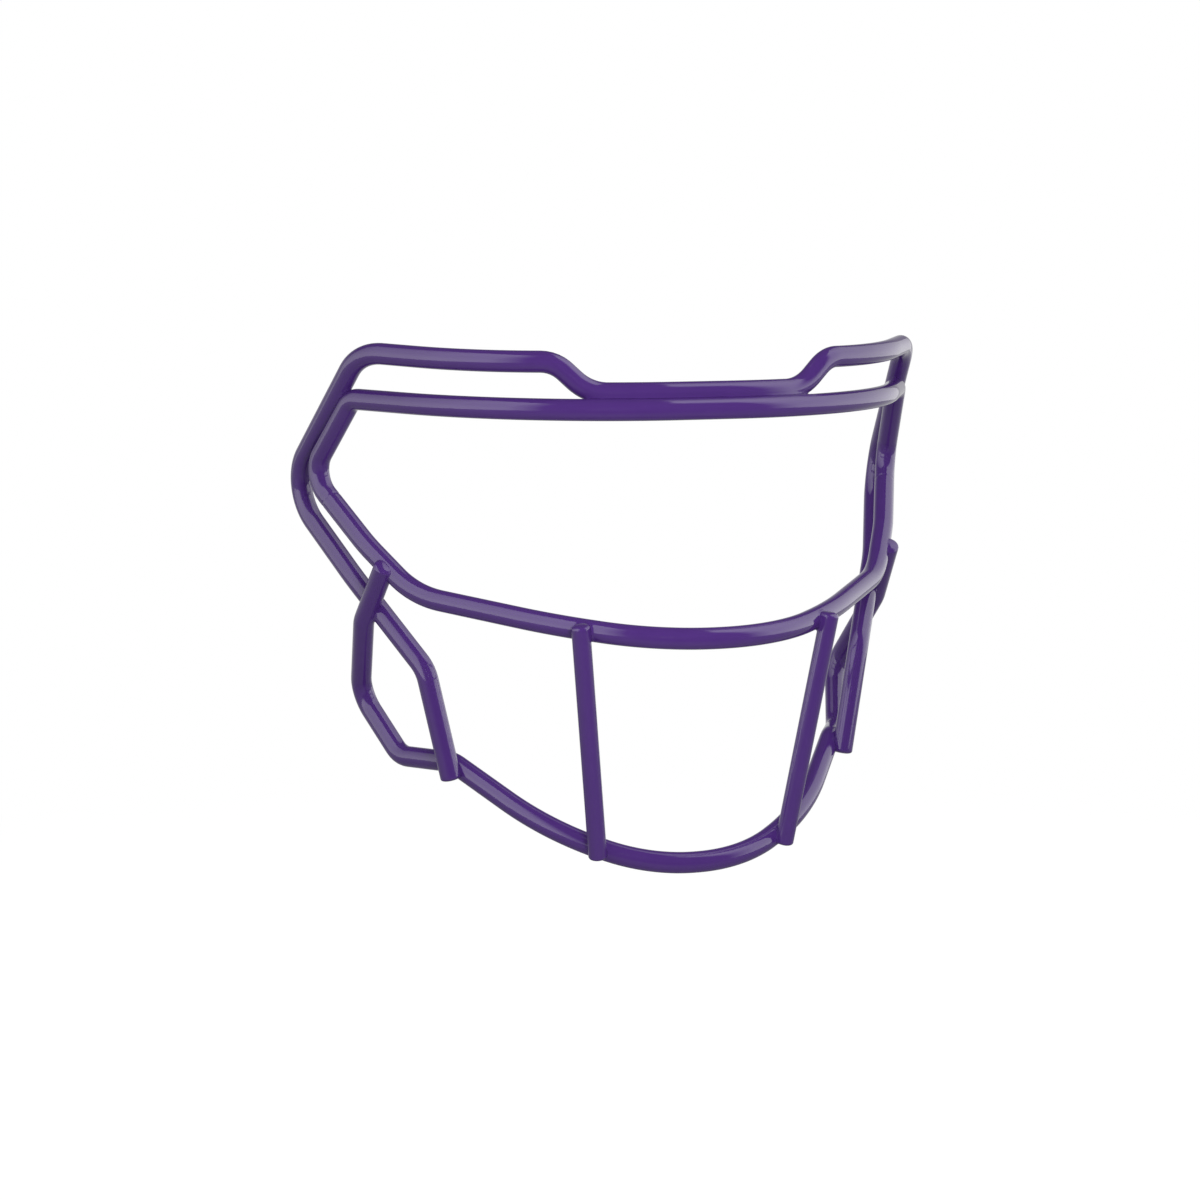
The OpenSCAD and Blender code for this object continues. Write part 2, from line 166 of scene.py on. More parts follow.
# The studio, in metres. The camera stands where the photographer's stood.
CAMERA_PLACE = (-0.3670, -0.9493, 0.1346)
CAMERA_TARGET = (-0.0312, -0.02665, 0.0036)
CAMERA_LENS_MM = 85.0
CAMERA_SENSOR_MM = 36.0
# What reflections see: a pale horizon beside and behind the mask, and a dim room in front of it
# and above. The ranges are of a direction's Y, of its Z, and of the level.
HORIZON_TURN = (-0.95, -0.3)
HORIZON_RISE = (0.05, 0.5)
HORIZON_GLOSS = (0.1, 0.65)
# The floor: half its side, its grey, what the camera alone sees added, and where it turns white
FLOOR_HALF = 6.0
FLOOR_GREY = 0.45
FLOOR_ROUGHNESS = 0.8
FLOOR_LIFT = 0.75
FLOOR_FADE = (0.22, 0.75)
# Each side panel: its length and height, its middle, and how it fades to its front and its back
PANEL_SIZE = (2.3, 3.2)
PANEL_MIDDLE = (1.0, -0.15, 1.41)
PANEL_FRONT = (-1.3, -0.75)
PANEL_BACK = (-0.2, 0.9)
PANEL_BACK_LEVEL = 0.3
# The fill lamp hangs in front of the mask
FILL_PLACE = (-0.1, -0.42, 0.12)
FILL_SIZE = 0.16


# Sizes and finishes
class MASK_PG_bars(bpy.types.PropertyGroup):
    """Sizes of the coated bars"""

    bar_diameter: bpy.props.FloatProperty(
        name="Bar diameter", description="Over the coat of the long bars",
        default=0.00758, min=0.004, max=0.012, unit="LENGTH", precision=5,
    )
    upright_diameter: bpy.props.FloatProperty(
        name="Upright diameter", description="Over the coat of the two uprights",
        default=0.0066, min=0.004, max=0.012, unit="LENGTH", precision=4,
    )
    end_cover: bpy.props.FloatProperty(
        name="End cover", description="Coat beyond the cut end of each rod",
        default=0.00065, min=0.0002, max=0.002, unit="LENGTH", precision=5,
    )
    end_round: bpy.props.FloatProperty(
        name="End rounding", description="Length of the rounded edge at each free end",
        default=0.0015, min=0.0003, max=0.003, unit="LENGTH", precision=4,
    )
    fillet: bpy.props.FloatProperty(
        name="Weld fillet", description="Reach of the coat's fillet where two bars meet",
        default=0.0011, min=0.0002, max=0.005, unit="LENGTH", precision=4,
    )
    sides: bpy.props.IntProperty(
        name="Sides", description="Faces round a bar", default=56, min=12, max=96,
    )
    fine_step: bpy.props.FloatProperty(
        name="Fine step", description="Length of a face near a weld",
        default=0.00042, min=0.0001, max=0.005, unit="LENGTH", precision=5,
    )
    plain_step: bpy.props.FloatProperty(
        name="Plain step", description="Length of a face away from the welds",
        default=0.0016, min=0.0002, max=0.01, unit="LENGTH", precision=4,
    )


class MASK_PG_finish(bpy.types.PropertyGroup):
    """Colours and gloss"""

    coat_colour: bpy.props.FloatVectorProperty(
        name="Coat colour", description="Purple of the polymer coat", subtype="COLOR",
        size=3, min=0.0, max=1.0, default=(0.088, 0.032, 0.222),
    )
    coat_shade: bpy.props.FloatVectorProperty(
        name="Coat shade", description="Deeper purple that the coat drifts to", subtype="COLOR",
        size=3, min=0.0, max=1.0, default=(0.080, 0.028, 0.208),
    )
    coat_roughness: bpy.props.FloatProperty(
        name="Coat roughness", description="Roughness of the polymer coat",
        subtype="FACTOR", default=0.08, min=0.0, max=1.0,
    )
    steel_colour: bpy.props.FloatVectorProperty(
        name="Steel colour", description="Drawn wire under the coat", subtype="COLOR",
        size=3, min=0.0, max=1.0, default=(0.55, 0.56, 0.58),
    )
    steel_roughness: bpy.props.FloatProperty(
        name="Steel roughness", description="Roughness of the drawn wire",
        subtype="FACTOR", default=0.3, min=0.0, max=1.0,
    )
    weld_colour: bpy.props.FloatVectorProperty(
        name="Weld colour", description="Weld metal under the coat", subtype="COLOR",
        size=3, min=0.0, max=1.0, default=(0.36, 0.36, 0.38),
    )
    weld_roughness: bpy.props.FloatProperty(
        name="Weld roughness", description="Roughness of the weld metal",
        subtype="FACTOR", default=0.45, min=0.0, max=1.0,
    )


class MASK_PG_studio(bpy.types.PropertyGroup):
    """Lamps and background"""

    panel_power: bpy.props.FloatProperty(
        name="Side panels", description="Power of each tall side panel, in watts",
        default=51.75, min=0.0, max=500.0,
    )
    room_level: bpy.props.FloatProperty(
        name="Room light", description="Even light of the white room",
        subtype="FACTOR", default=0.6, min=0.0, max=2.0,
    )
    fill_power: bpy.props.FloatProperty(
        name="Front fill", description="Power of the soft lamp in front of the mask, in watts",
        default=0.8, min=0.0, max=500.0,
    )
    floor_drop: bpy.props.FloatProperty(
        name="Floor drop", description="Floor below the lowest point of the mask",
        default=0.12, min=0.0, max=1.0, unit="LENGTH",
    )


# Centre lines
def unit(v):
    return v / np.linalg.norm(v)


def mirrored(point):
    return (-point[0], point[1], point[2])


def full_route(name):
    """The bar's corner points in metres with their bend radii, from its right end to its left."""
    if name in HALF_ROUTES:
        half = list(HALF_ROUTES[name])
        corners = [(mirrored(p), r) for p, r in reversed(half)] + half
    else:
        foot, head = np.array(UPRIGHT_FOOT), np.array(UPRIGHT_HEAD)
        ends = (foot + FOOT_RAISE * unit(head - foot), head)
        corners = [(p if name == "left_upright" else mirrored(p), 0) for p in ends]
    return [(np.array(p) * MM, r * MM) for p, r in corners]


def straight_run(a, b):
    length = float(np.linalg.norm(b - a))
    return Run(length, None, lambda s: a + (b - a) * (s / length))


def bent_run(before, corner, after, radius):
    """The bend that rounds a corner."""
    along, onward = unit(corner - before), unit(after - corner)
    angle = math.acos(float(along @ onward))
    inward = unit(onward - (onward @ along) * along)
    centre = corner - along * radius * math.tan(angle / 2) + inward * radius

    def point(s):
        turn = s / radius
        return centre + radius * (along * math.sin(turn) - inward * math.cos(turn))

    return Run(radius * angle, radius, point)


def route_runs(name):
    """The bar's straight and bent runs, and the point where the last of them ends."""
    route = full_route(name)
    runs, here = [], route[0][0]
    for (before, _), (corner, radius), (after, _) in zip(route, route[1:], route[2:]):
        bend = bent_run(before, corner, after, radius)
        runs += [straight_run(here, bend.at(0)), bend]
        here = bend.at(bend.length)
    end = route[-1][0]
    return runs + [straight_run(here, end)], end


def bar_radius(name, sizes):
    return (sizes.upright_diameter if name.endswith("upright") else sizes.bar_diameter) / 2


LINES = {}


def centre_line(name):
    """The bar's centre line as a polyline, worked out once."""
    if name not in LINES:
        runs, end = route_runs(name)
        points = []
        for run in runs:
            count = 1
            if run.radius:
                step = 2 * run.radius * math.acos(1 - LINE_ERROR / run.radius)
                count = math.ceil(run.length / step)
            points += [run.at(run.length * k / count) for k in range(count)]
        LINES[name] = np.array(points + [end])
    return LINES[name]


def from_line(points, line):
    """For each point, its offset from the nearest place on a polyline."""
    a, ab = line[:-1], np.diff(line, axis=0)
    length2 = np.einsum("ij,ij->i", ab, ab)
    out = np.empty_like(points)
    for start in range(0, len(points), CHUNK):
        p = points[start:start + CHUNK]
        ap = p[:, None, :] - a[None, :, :]
        t = np.clip(np.einsum("ijk,jk->ij", ap, ab) / length2, 0.0, 1.0)
        off = ap - t[:, :, None] * ab[None, :, :]
        best = np.einsum("ijk,ijk->ij", off, off).argmin(axis=1)
        out[start:start + CHUNK] = off[np.arange(len(p)), best]
    return out


def skin_distance(points, name, sizes):
    """Signed distance of each point from the bar's coated skin, its rounded ends included."""
    line, radius = centre_line(name), bar_radius(name, sizes)
    distance = np.linalg.norm(from_line(points, line), axis=1) - radius
    if name in FREE_ENDS:
        for end, inner in ((line[0], line[1]), (line[-1], line[-2])):
            axial = (points - end) @ unit(end - inner)
            beyond = (axial > 0) & (distance < END_REACH)
            distance[beyond] = end_distance(points[beyond] - end, axial[beyond], radius, sizes)
    return distance


def end_distance(offsets, axial, radius, sizes):
    """Signed distance from a coated end, whose edge is rounded."""
    edge = sizes.end_round
    radial = np.sqrt(np.maximum(np.einsum("ij,ij->i", offsets, offsets) - axial**2, 0.0))
    across, beyond = radial - (radius - edge), axial - (sizes.end_cover - edge)
    inside = np.minimum(np.maximum(across, beyond), 0.0)
    return inside + np.hypot(np.maximum(across, 0.0), np.maximum(beyond, 0.0)) - edge


def end_rows(sizes):
    """(distance from the tip, share of the radius) down a coated end."""
    rows = []
    for k in range(1, END_STEPS + 1):
        share = math.sin(0.5 * math.pi * k / END_STEPS)
        depth = 1.0 - (1.0 - share**END_POWER) ** (1.0 / END_POWER)
        rows.append((sizes.end_round * depth, share))
    return rows


def with_round_ends(points, near, sizes):
    """The bar run on to the tip of its coat at both ends, where its radius closes in."""
    first, last = unit(points[0] - points[1]), unit(points[-1] - points[-2])
    tip_first = points[0] + first * sizes.end_cover
    tip_last = points[-1] + last * sizes.end_cover
    clear = sizes.end_round + sizes.fine_step
    keep = (np.linalg.norm(points - tip_first, axis=1) > clear) & (
        np.linalg.norm(points - tip_last, axis=1) > clear
    )
    rows = end_rows(sizes)
    head = np.array([tip_first - first * d for d, _ in rows])
    tail = np.array([tip_last - last * d for d, _ in reversed(rows)])
    shares = np.array([s for _, s in rows])
    ends = np.ones(len(rows), bool)
    return (
        np.concatenate([head, points[keep], tail]),
        np.concatenate([shares, np.ones(keep.sum()), shares[::-1]]),
        np.concatenate([ends, near[keep], ends]),
    )


def seamed_shares(points):
    """Shares of the bar's radius, with a shallow groove over the butt weld at each end."""
    shares = np.ones(len(points))
    for end in (points[0], points[-1]):
        away = np.linalg.norm(points - end, axis=1)
        shares -= SEAM_DEPTH_SHARE * np.exp(-((away / SEAM_WIDTH) ** 2))
    return shares


def sampled_route(name, others, sizes):
    """Points down the bar, their shares of its radius, and which of them are near another bar."""
    runs, end = route_runs(name)
    points, starts = [], []
    for run in runs:
        starts.append(len(points))
        count = max(1, math.ceil(run.length / sizes.fine_step))
        points += [run.at(run.length * k / count) for k in range(count)]
    points = np.array(points + [end])
    gap = np.min([skin_distance(points, o, sizes) for o in others], axis=0)
    near = gap < bar_radius(name, sizes) + sizes.fillet
    places = np.arange(len(points))
    each = max(1, round(sizes.plain_step / sizes.fine_step))
    seamed = (places < SEAM_STEPS) | (places > len(points) - SEAM_STEPS)
    keep = near | seamed | (places % each == 0)
    keep[starts] = True
    points, near = points[keep], near[keep]
    if name in FREE_ENDS:
        return with_round_ends(points, near, sizes)
    return points, seamed_shares(points), near


# Swept bars
def new_group(name, kind, inputs, outputs):
    """An empty node group with these sockets, and its input and output nodes."""
    tree = bpy.data.node_groups.new(name, kind)
    for way, sockets in (("INPUT", inputs), ("OUTPUT", outputs)):
        for label, socket in sockets:
            tree.interface.new_socket(label, in_out=way, socket_type="NodeSocket" + socket)
    return tree, tree.nodes.new("NodeGroupInput"), tree.nodes.new("NodeGroupOutput")


def bar_tree():
    """Sweeps a round bar along the edges of its path, thinned by the path's share attribute."""
    known = bpy.data.node_groups.get("Coated bar")
    if known:
        return known
    tree, given, done = new_group(
        "Coated bar", "GeometryNodeTree",
        (("Geometry", "Geometry"), ("Radius", "Float"), ("Sides", "Int"), ("Finish", "Material")),
        (("Geometry", "Geometry"),),
    )
    add, link = tree.nodes.new, tree.links.new
    curve = add("GeometryNodeMeshToCurve")
    share = add("GeometryNodeInputNamedAttribute")
    share.data_type = "FLOAT"
    share.inputs["Name"].default_value = "share"
    ring = add("GeometryNodeCurvePrimitiveCircle")
    sweep = add("GeometryNodeCurveToMesh")
    sweep.inputs["Fill Caps"].default_value = True
    smooth = add("GeometryNodeSetShadeSmooth")
    paint = add("GeometryNodeSetMaterial")
    link(given.outputs["Geometry"], curve.inputs["Mesh"])
    link(given.outputs["Radius"], ring.inputs["Radius"])
    link(given.outputs["Sides"], ring.inputs["Resolution"])
    link(curve.outputs["Curve"], sweep.inputs["Curve"])
    link(ring.outputs["Curve"], sweep.inputs["Profile Curve"])
    link(share.outputs["Attribute"], sweep.inputs["Scale"])
    link(sweep.outputs["Mesh"], smooth.inputs["Geometry"])
    link(smooth.outputs["Geometry"], paint.inputs["Geometry"])
    link(given.outputs["Finish"], paint.inputs["Material"])
    link(paint.outputs["Geometry"], done.inputs["Geometry"])
    return tree


def swept_bar(name, points, shares, radius, sides, finish):
    """The plain mesh that the bar tree makes from this path."""
    path = bpy.data.meshes.new(name + "_path")
    path.from_pydata([tuple(p) for p in points], [(i, i + 1) for i in range(len(points) - 1)], [])
    path.attributes.new("share", "FLOAT", "POINT").data.foreach_set("value", shares)
    holder = bpy.data.objects.new(name + "_path", path)
    bpy.context.scene.collection.objects.link(holder)
    sweep = holder.modifiers.new("Sweep", "NODES")
    sweep.node_group = bar_tree()
    values = {"Radius": radius, "Sides": sides, "Finish": finish}
    for item in sweep.node_group.interface.items_tree:
        if item.name in values:
            sweep[item.identifier] = values[item.name]
    bpy.context.view_layer.update()
    shown = holder.evaluated_get(bpy.context.evaluated_depsgraph_get())
    mesh = bpy.data.meshes.new_from_object(shown)
    mesh.name = name
    bpy.data.objects.remove(holder)
    bpy.data.meshes.remove(path)
    return mesh


def smooth_min(a, b, reach):
    h = np.clip(1.0 - np.abs(a - b) / reach, 0.0, None)
    return np.minimum(a, b) - h * h * reach * BLEND_SHARE


def add_fillets(mesh, name, others, near, sizes):
    """Moves the surface out to one smooth skin where another bar meets this one."""
    co = np.empty(len(mesh.vertices) * 3)
    mesh.vertices.foreach_get("co", co)
    co = co.reshape(-1, 3)
    rings = np.flatnonzero(np.repeat(near, sizes.sides))
    gap = np.min([skin_distance(co[rings], o, sizes) for o in others], axis=0)
    rings = rings[gap < sizes.fillet]
    if len(rings):
        co[rings] = filleted(co[rings], name, others, sizes)
    mesh.vertices.foreach_set("co", co.ravel())
    mesh.update()


def filleted(points, name, others, sizes):
    """Each point pushed straight out from the bar until it lies on the blended skin."""
    away = from_line(points, centre_line(name))
    away /= np.linalg.norm(away, axis=1)[:, None]
    own = skin_distance(points, name, sizes)
    push = np.zeros(len(points))
    for _ in range(PUSH_STEPS):
        here = points + away * push[:, None]
        skin = own + push
        for o in others:
            skin = smooth_min(skin, skin_distance(here, o, sizes), sizes.fillet)
        push = np.minimum(push + np.maximum(-skin, 0.0), sizes.fillet * BLEND_SHARE)
    return points + away * push[:, None]


def make_bar(name, *nodes):
    """One coated bar, with its rounded ends and fillets, standing for these CAD nodes."""
    sizes = bpy.context.scene.mask_bars
    others = [o for o in BAR_NAMES if o != name and o not in JOINED.get(name, ())]
    points, shares, near = sampled_route(name, others, sizes)
    mesh = swept_bar(name, points, shares, bar_radius(name, sizes), sizes.sides, coat_material())
    add_fillets(mesh, name, others, near, sizes)
    bar = bpy.data.objects.new(name, mesh)
    bpy.context.scene.collection.objects.link(bar)
    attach(bar, BODY)
    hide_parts(*nodes)


# Finishes
def flow_group():
    """Slow waves and a fine grain as one height, and the waves alone as a drift of colour."""
    known = bpy.data.node_groups.get("Flow marks")
    if known:
        return known
    tree, given, done = new_group(
        "Flow marks", "ShaderNodeTree",
        (("Wave size", "Float"), ("Grain size", "Float"), ("Grain share", "Float")),
        (("Height", "Float"), ("Drift", "Float")),
    )
    waves = noise_layer(tree, given.outputs["Wave size"], WAVE_DETAIL)
    grain = noise_layer(tree, given.outputs["Grain size"], GRAIN_DETAIL)
    height = tree.nodes.new("ShaderNodeMix")
    tree.links.new(given.outputs["Grain share"], height.inputs["Factor"])
    tree.links.new(waves, height.inputs["A"])
    tree.links.new(grain, height.inputs["B"])
    tree.links.new(height.outputs["Result"], done.inputs["Height"])
    tree.links.new(waves, done.inputs["Drift"])
    return tree


def noise_layer(tree, size, detail):
    """Noise over Object coordinates, whose size in metres is given."""
    per_metre = tree.nodes.new("ShaderNodeMath")
    per_metre.operation = "DIVIDE"
    per_metre.inputs[0].default_value = 1.0
    tree.links.new(size, per_metre.inputs[1])
    noise = tree.nodes.new("ShaderNodeTexNoise")
    noise.inputs["Detail"].default_value = detail
    place = tree.nodes.new("ShaderNodeTexCoord")
    tree.links.new(place.outputs["Object"], noise.inputs["Vector"])
    tree.links.new(per_metre.outputs[0], noise.inputs["Scale"])
    return noise.outputs["Fac"]


def new_material(name):
    material = bpy.data.materials.new(name)
    material.use_nodes = True
    return material, material.node_tree, material.node_tree.nodes["Principled BSDF"]


def marked_material(name, colour, shade, roughness, marks):
    """A finish whose colour drifts between two tones and whose surface shows flow marks."""
    material, tree, shader = new_material(name)
    add, link = tree.nodes.new, tree.links.new
    flow = add("ShaderNodeGroup")
    flow.node_tree = flow_group()
    flow.inputs["Wave size"].default_value = marks.wave
    flow.inputs["Grain size"].default_value = marks.grain
    flow.inputs["Grain share"].default_value = marks.grain_share
    tone = add("ShaderNodeMix")
    tone.data_type = "RGBA"
    tone.inputs[COLOUR_A].default_value = (*shade, 1.0)
    tone.inputs[COLOUR_B].default_value = (*colour, 1.0)
    link(flow.outputs["Drift"], tone.inputs["Factor"])
    link(tone.outputs[COLOUR_RESULT], shader.inputs["Base Color"])
    bump = add("ShaderNodeBump")
    bump.inputs["Strength"].default_value = marks.bump
    bump.inputs["Distance"].default_value = marks.relief
    link(flow.outputs["Height"], bump.inputs["Height"])
    link(bump.outputs["Normal"], shader.inputs["Normal"])
    shader.inputs["Roughness"].default_value = roughness
    return material, shader


def coat_material():
    """Glossy polymer coat, made once."""
    known = bpy.data.materials.get("gloss_purple_coat")
    if known:
        return known
    finish = bpy.context.scene.mask_finish
    material, _ = marked_material(
        "gloss_purple_coat", finish.coat_colour, finish.coat_shade, finish.coat_roughness,
        COAT_MARKS,
    )
    return material


def metal_material(name, colour, roughness, marks):
    """Bare metal under the coat."""
    shade = tuple(METAL_SHADE * c for c in colour)
    material, shader = marked_material(name, colour, shade, roughness, marks)
    shader.inputs["Metallic"].default_value = 1.0
    return material


# Operators
class MASK_OT_window_bar(bpy.types.Operator):
    """Bar over the eye window, which closes the window's top and upper sides"""

    bl_idname = "mask.window_bar"
    bl_label = "Window bar"

    def execute(self, context):
        make_bar("window_bar", "window_coat")
        return {"FINISHED"}


class MASK_OT_nose_bar(bpy.types.Operator):
    """Bar below the eye window, round the nose"""

    bl_idname = "mask.nose_bar"
    bl_label = "Nose bar"

    def execute(self, context):
        make_bar("nose_bar", "nose_coat")
        return {"FINISHED"}


class MASK_OT_brow_bar(bpy.types.Operator):
    """Outer bar over the brow, with its dip, side bends and legs"""

    bl_idname = "mask.brow_bar"
    bl_label = "Brow bar"

    def execute(self, context):
        make_bar("brow_bar", "brow_coat", "brow_seam_weld", "left_side_weld", "right_side_weld")
        return {"FINISHED"}


class MASK_OT_chin_bar(bpy.types.Operator):
    """Bar round the chin, with its side loops and hooks"""

    bl_idname = "mask.chin_bar"
    bl_label = "Chin bar"

    def execute(self, context):
        make_bar(
            "chin_bar", "chin_coat", "left_hook_weld", "right_hook_weld", "left_hook_end_weld",
            "right_hook_end_weld", "left_tail_weld", "right_tail_weld",
        )
        return {"FINISHED"}


class MASK_OT_uprights(bpy.types.Operator):
    """The two thin uprights in front of the mouth"""

    bl_idname = "mask.uprights"
    bl_label = "Uprights"

    def execute(self, context):
        for side in ("left", "right"):
            upright = side + "_upright"
            make_bar(
                upright, upright + "_coat", upright + "_rod", upright + "_head_weld",
                upright + "_foot_weld",
            )
        return {"FINISHED"}


class MASK_OT_metal(bpy.types.Operator):
    """Steel finish for the rods and the welds that the coat covers"""

    bl_idname = "mask.metal"
    bl_label = "Rods and welds"

    def execute(self, context):
        finish = context.scene.mask_finish
        metals = {
            "rod": metal_material(
                "drawn_steel_wire", finish.steel_colour, finish.steel_roughness, STEEL_MARKS
            ),
            "weld": metal_material(
                "grey_weld_metal", finish.weld_colour, finish.weld_roughness, WELD_MARKS
            ),
        }
        for name, node in frame["nodes"].items():
            kind = name.split("_")[-1]
            if kind in metals:
                node.data.materials.clear()
                node.data.materials.append(metals[kind])
        return {"FINISHED"}


class MASK_OT_studio(bpy.types.Operator):
    """Pale floor, white room, two tall soft panels, a front fill lamp and the camera"""

    bl_idname = "mask.studio"
    bl_label = "Studio"

    def execute(self, context):
        studio = context.scene.mask_studio
        white_room(studio.room_level)
        pale_floor(studio.floor_drop)
        for side in (-1, 1):
            soft_panel(side, studio.panel_power)
        front_fill(studio.fill_power)
        photo_camera()
        return {"FINISHED"}


# Studio
def ranged(tree, value, lows, highs):
    """value carried from the first range onto the second."""
    node = tree.nodes.new("ShaderNodeMapRange")
    for label, number in zip(("From Min", "From Max"), lows):
        node.inputs[label].default_value = number
    for label, number in zip(("To Min", "To Max"), highs):
        node.inputs[label].default_value = number
    tree.links.new(value, node.inputs["Value"])
    return node.outputs["Result"]


def combined(tree, operation, a, b):
    """Two values put together by a Math node."""
    node = tree.nodes.new("ShaderNodeMath")
    node.operation = operation
    tree.links.new(a, node.inputs[0])
    tree.links.new(b, node.inputs[1])
    return node.outputs[0]


def mixed(tree, share, shader, other):
    """This share of the other shader, the rest of the first."""
    node = tree.nodes.new("ShaderNodeMixShader")
    tree.links.new(share, node.inputs["Fac"])
    tree.links.new(shader, node.inputs[1])
    tree.links.new(other, node.inputs[2])
    return node.outputs["Shader"]


def sight_rays(tree, path):
    """1 for camera, glossy and transmission rays, which see the background plainly."""
    seen = combined(tree, "MAXIMUM", path.outputs["Is Camera Ray"], path.outputs["Is Glossy Ray"])
    return combined(tree, "MAXIMUM", seen, path.outputs["Is Transmission Ray"])


def white_room(level):
    """Even light, plain white for the camera, a dim room with a pale horizon for reflections."""
    world = bpy.data.worlds.new("white_room")
    bpy.context.scene.world = world
    world.use_nodes = True
    tree = world.node_tree
    tree.nodes.clear()
    add, link = tree.nodes.new, tree.links.new
    place = add("ShaderNodeTexCoord")
    split = add("ShaderNodeSeparateXYZ")
    path = add("ShaderNodeLightPath")
    link(place.outputs["Generated"], split.inputs["Vector"])
    behind = ranged(tree, split.outputs["Y"], HORIZON_TURN, (0.0, 1.0))
    low = ranged(tree, split.outputs["Z"], HORIZON_RISE, (1.0, 0.0))
    pale = combined(tree, "MULTIPLY", behind, low)
    room, mirror, plain = (add("ShaderNodeBackground") for _ in range(3))
    for background in (room, mirror, plain):
        background.inputs["Color"].default_value = (1.0, 1.0, 1.0, 1.0)
    room.inputs["Strength"].default_value = level
    link(ranged(tree, pale, (0.0, 1.0), HORIZON_GLOSS), mirror.inputs["Strength"])
    shader = room.outputs["Background"]
    for ray, background in (
        ("Is Glossy Ray", mirror), ("Is Transmission Ray", plain), ("Is Camera Ray", plain),
    ):
        shader = mixed(tree, path.outputs[ray], shader, background.outputs["Background"])
    link(shader, add("ShaderNodeOutputWorld").inputs["Surface"])


def floor_material():
    """Pale grey with a soft shadow by the mask, plain white away from it, dimmer in reflections."""
    material, tree, shader = new_material("pale_floor")
    shader.inputs["Base Color"].default_value = (FLOOR_GREY, FLOOR_GREY, FLOOR_GREY, 1.0)
    shader.inputs["Roughness"].default_value = FLOOR_ROUGHNESS
    shader.inputs["Specular IOR Level"].default_value = 0.0
    add, link = tree.nodes.new, tree.links.new
    place = add("ShaderNodeTexCoord").outputs["Object"]
    path = add("ShaderNodeLightPath")
    lift, near = add("ShaderNodeEmission"), add("ShaderNodeAddShader")
    lifted = ranged(tree, path.outputs["Is Camera Ray"], (0.0, 1.0), (0.0, FLOOR_LIFT))
    link(lifted, lift.inputs["Strength"])
    link(shader.outputs["BSDF"], near.inputs[0])
    link(lift.outputs["Emission"], near.inputs[1])

    toward, split = add("ShaderNodeVectorMath"), add("ShaderNodeSeparateXYZ")
    toward.operation = "NORMALIZE"
    link(place, toward.inputs[0])
    link(toward.outputs["Vector"], split.inputs["Vector"])
    level, white = add("ShaderNodeMix"), add("ShaderNodeEmission")
    level.inputs["A"].default_value = 1.0
    link(ranged(tree, split.outputs["Y"], HORIZON_TURN, HORIZON_GLOSS), level.inputs["B"])
    link(path.outputs["Is Glossy Ray"], level.inputs["Factor"])
    link(level.outputs["Result"], white.inputs["Strength"])

    reach = add("ShaderNodeVectorMath")
    reach.operation = "LENGTH"
    link(place, reach.inputs[0])
    far = ranged(tree, reach.outputs["Value"], FLOOR_FADE, (0.0, 1.0))
    share = combined(tree, "MULTIPLY", far, sight_rays(tree, path))
    surface = mixed(tree, share, near.outputs["Shader"], white.outputs["Emission"])
    link(surface, tree.nodes["Material Output"].inputs["Surface"])
    return material


def pale_floor(drop):
    """A wide floor below the mask."""
    low, high, z = -FLOOR_HALF, FLOOR_HALF, CAD_BOX[0][2] - drop
    mesh = bpy.data.meshes.new("floor")
    mesh.from_pydata(
        [(low, low, z), (high, low, z), (high, high, z), (low, high, z)], [], [(0, 1, 2, 3)]
    )
    mesh.materials.append(floor_material())
    floor = bpy.data.objects.new("floor", mesh)
    bpy.context.scene.collection.objects.link(floor)


def aimed(data, place, target):
    """A new lamp or camera at a place, turned to its target."""
    obj = bpy.data.objects.new(data.name, data)
    obj.location = place
    obj.rotation_euler = (Vector(target) - Vector(place)).to_track_quat("-Z", "Y").to_euler()
    bpy.context.scene.collection.objects.link(obj)
    return obj


def soft_panel(side, power):
    """A tall upright panel beside the mask, which puts the long pale band on each bar."""
    lamp = bpy.data.lights.new("left_panel" if side > 0 else "right_panel", "AREA")
    lamp.shape = "RECTANGLE"
    lamp.size, lamp.size_y = PANEL_SIZE
    lamp.energy = power
    lamp.use_nodes = True
    tree = lamp.node_tree
    place, split = tree.nodes.new("ShaderNodeNewGeometry"), tree.nodes.new("ShaderNodeSeparateXYZ")
    tree.links.new(place.outputs["Position"], split.inputs["Vector"])
    front = ranged(tree, split.outputs["Y"], PANEL_FRONT, (0.0, 1.0))
    back = ranged(tree, split.outputs["Y"], PANEL_BACK, (1.0, PANEL_BACK_LEVEL))
    fading = combined(tree, "MULTIPLY", front, back)
    tree.links.new(fading, tree.nodes["Emission"].inputs["Strength"])
    x, y, z = PANEL_MIDDLE
    panel = aimed(lamp, (side * x, y, z), (0.0, y, z))
    panel.visible_diffuse = False


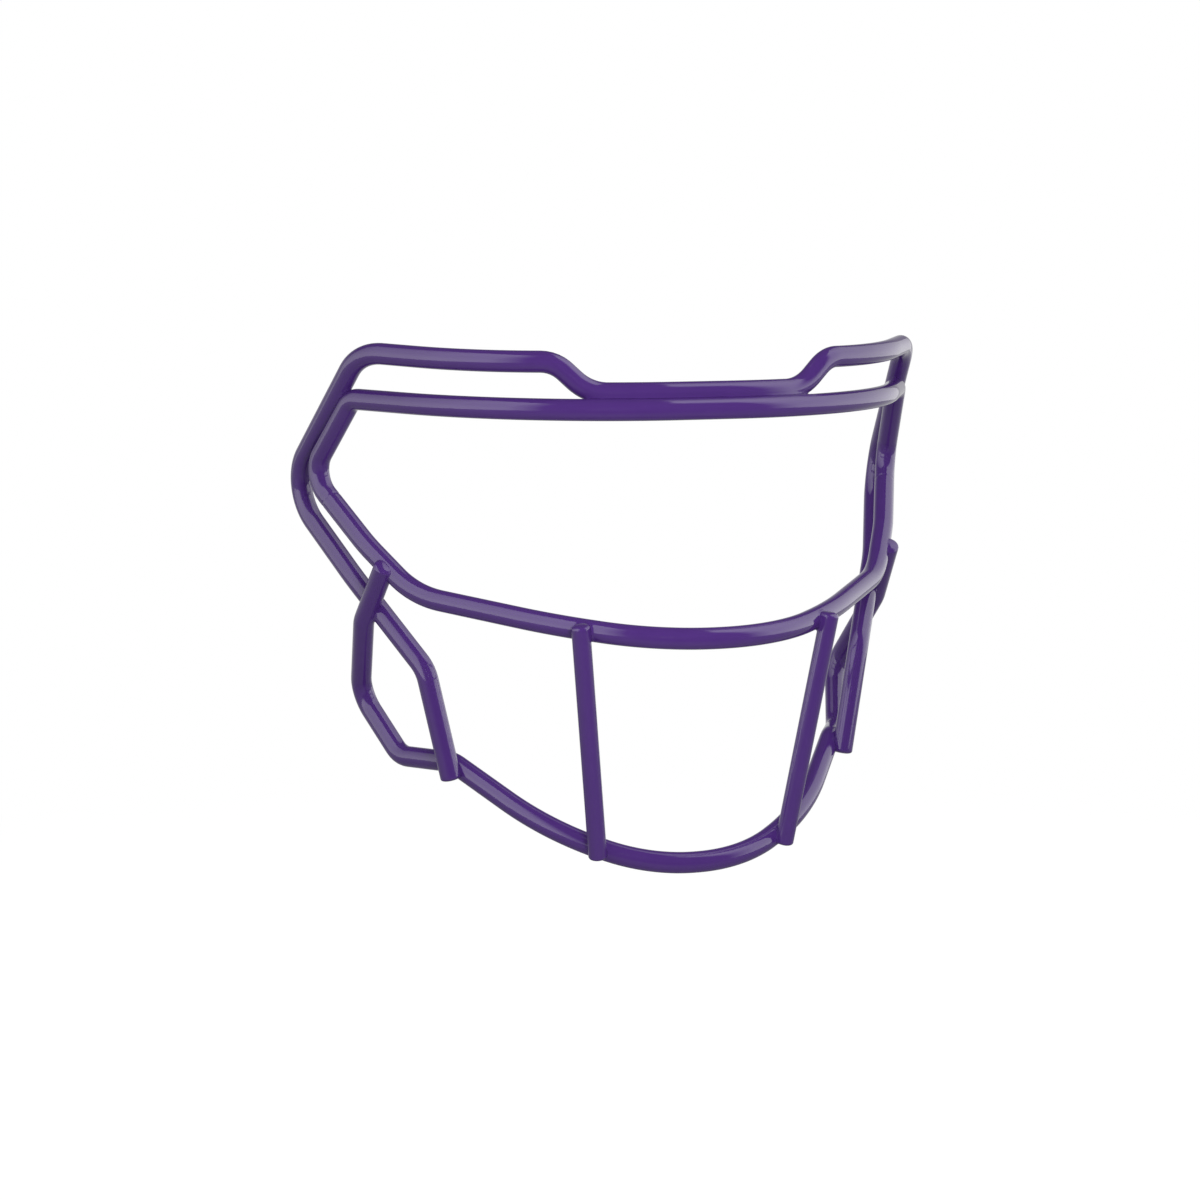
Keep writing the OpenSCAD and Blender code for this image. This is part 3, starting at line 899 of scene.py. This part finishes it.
def front_fill(power):
    """A soft lamp in front of the mask that its gloss doesn't show."""
    lamp = bpy.data.lights.new("front_fill", "AREA")
    lamp.shape = "DISK"
    lamp.size = FILL_SIZE
    lamp.energy = power
    fill = aimed(lamp, FILL_PLACE, (0.0, 0.0, 0.0))
    fill.visible_glossy = False
    fill.visible_camera = False


def photo_camera():
    """The photo's view of the mask."""
    lens = bpy.data.cameras.new("photo_camera")
    lens.lens = CAMERA_LENS_MM
    lens.sensor_width = CAMERA_SENSOR_MM
    bpy.context.scene.camera = aimed(lens, CAMERA_PLACE, CAMERA_TARGET)
    bpy.context.scene.view_settings.view_transform = "Standard"


# Panel and registration
class MASK_PT_panel(bpy.types.Panel):
    """Sizes, finishes and the steps that build the mask"""

    bl_label = "Facemask"
    bl_idname = "MASK_PT_panel"
    bl_space_type = "VIEW_3D"
    bl_region_type = "UI"
    bl_category = "Facemask"

    def draw(self, context):
        layout = self.layout
        for group in GROUPS:
            settings = getattr(context.scene, group)
            box = layout.box()
            for name in settings.bl_rna.properties.keys():
                if name not in ("rna_type", "name"):
                    box.prop(settings, name)
        for step in STEPS:
            layout.operator(step.bl_idname)


GROUPS = {"mask_bars": MASK_PG_bars, "mask_finish": MASK_PG_finish, "mask_studio": MASK_PG_studio}
STEPS = (
    MASK_OT_studio, MASK_OT_window_bar, MASK_OT_nose_bar, MASK_OT_brow_bar, MASK_OT_chin_bar,
    MASK_OT_uprights, MASK_OT_metal,
)


def register():
    for name, group in GROUPS.items():
        bpy.utils.register_class(group)
        setattr(bpy.types.Scene, name, bpy.props.PointerProperty(type=group))
    for step in STEPS:
        bpy.utils.register_class(step)
    bpy.utils.register_class(MASK_PT_panel)


def unregister():
    bpy.utils.unregister_class(MASK_PT_panel)
    for step in reversed(STEPS):
        bpy.utils.unregister_class(step)
    for name, group in reversed(GROUPS.items()):
        delattr(bpy.types.Scene, name)
        bpy.utils.unregister_class(group)


def main():
    register()
    for step in STEPS:
        area, name = step.bl_idname.split(".")
        if getattr(getattr(bpy.ops, area), name)() != {"FINISHED"}:
            raise RuntimeError(step.bl_idname + " did not finish")


if __name__ == "__main__":
    main()
